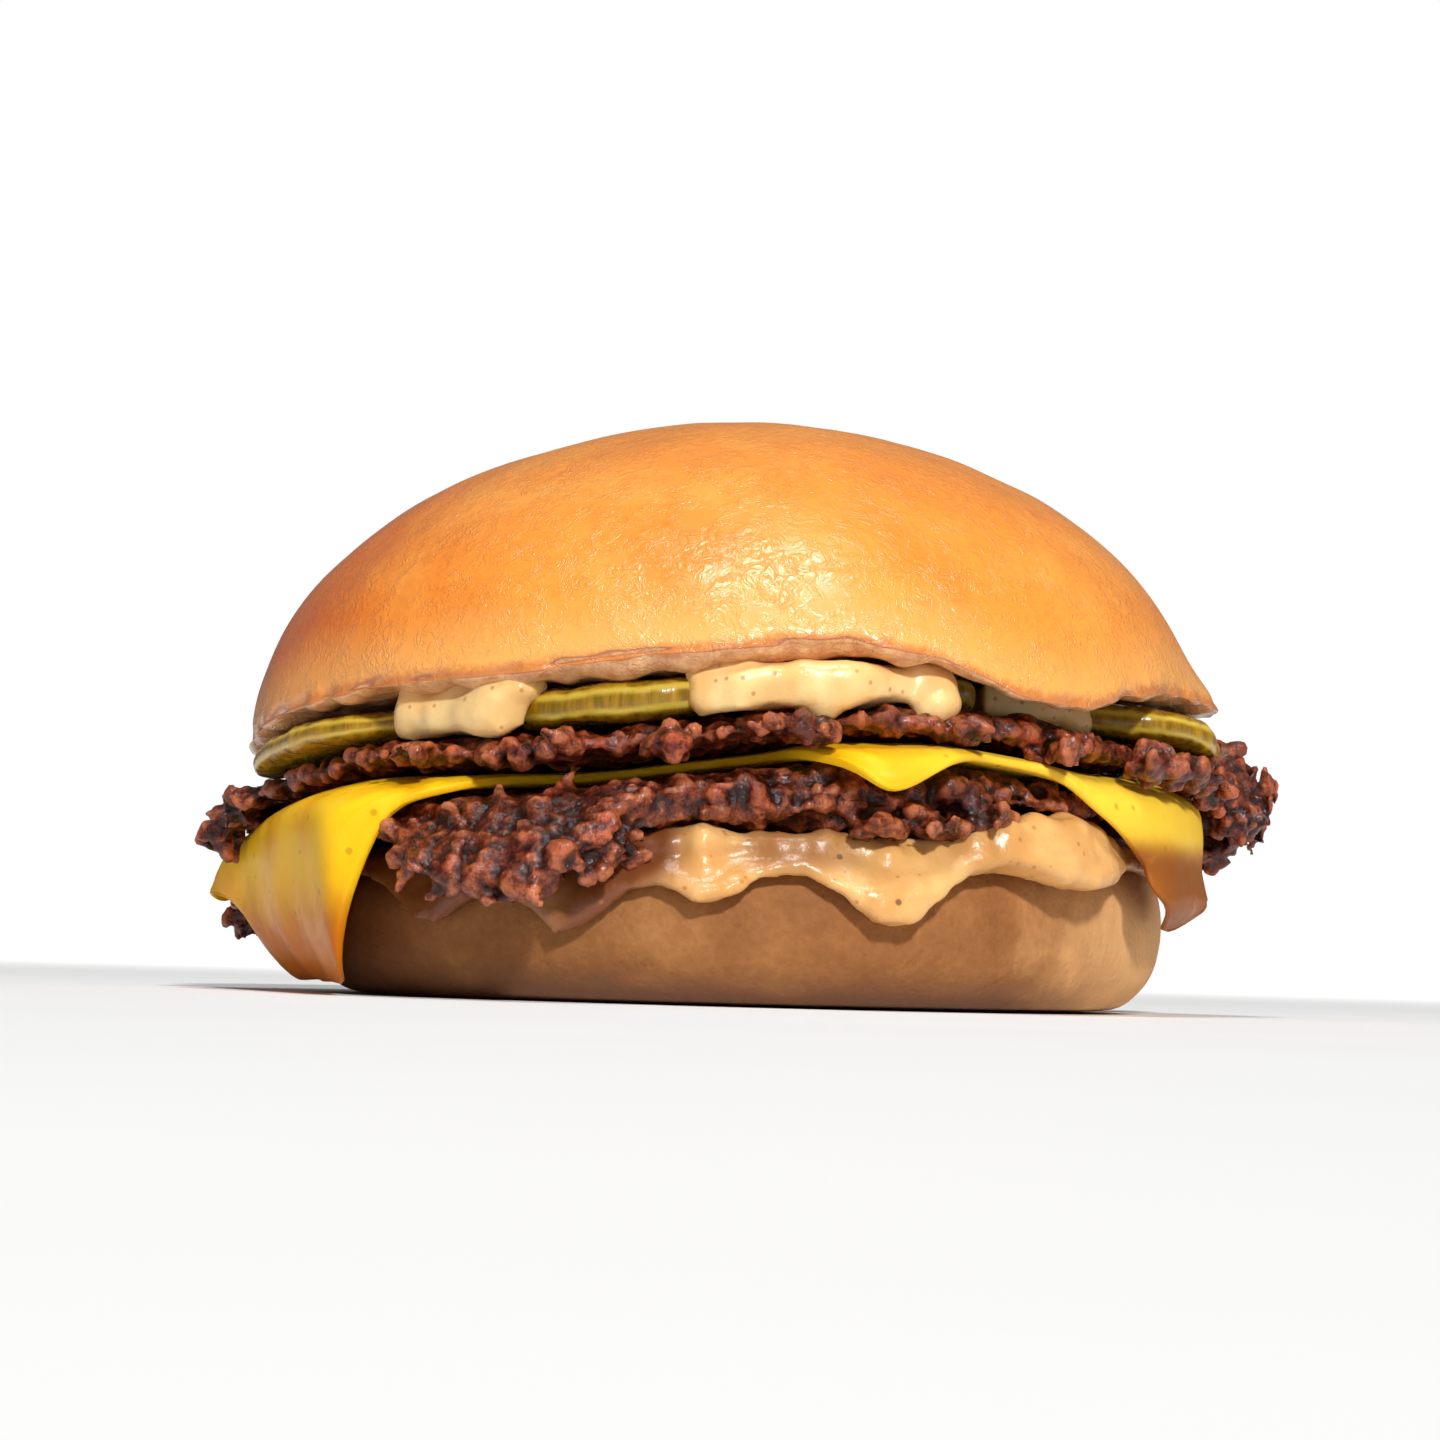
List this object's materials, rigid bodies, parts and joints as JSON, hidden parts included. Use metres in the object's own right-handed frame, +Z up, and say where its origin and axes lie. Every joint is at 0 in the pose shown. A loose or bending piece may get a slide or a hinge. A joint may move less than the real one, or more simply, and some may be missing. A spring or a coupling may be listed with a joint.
{
  "type": "cheeseburger",
  "caption": "Smash-style cheeseburger in a glazed bun, with draped melted cheese, ragged patties, gherkin slices and burger sauce; stands on the flat base of its bun.",
  "frame": {"origin": "centre of the burger's bounding box in plan, on the plane it stands on", "axes": "+Z up, +X to the burger's right as the picture shows it, so that the picture looks along +Y"},
  "size_m": [0.12, 0.1096, 0.0636],
  "materials": {
    "bun_side": "matt, soft baked crumb and side crust",
    "sauce": "wet, thick burger sauce",
    "patty_lower": "greasy, coarse seared mince",
    "cheese": "soft sheen, melted slice",
    "patty_upper": "greasy, coarse seared mince",
    "pickle": "wet gherkin",
    "sauce_upper": "wet, thick burger sauce",
    "bun_crust": "butter glaze, finely wrinkled"
  },
  "bodies": {
    "root": {"heel": "bun_side", "lower_sauce": "sauce", "lower_patty": "patty_lower", "cheese": "cheese", "upper_patty": "patty_upper", "pickle_left": "pickle", "pickle_front": "pickle", "pickle_inner": "pickle", "pickle_right": "pickle", "pickle_back": "pickle", "upper_sauce": "sauce_upper", "crown": "bun_crust"}
  },
  "joints": []
}
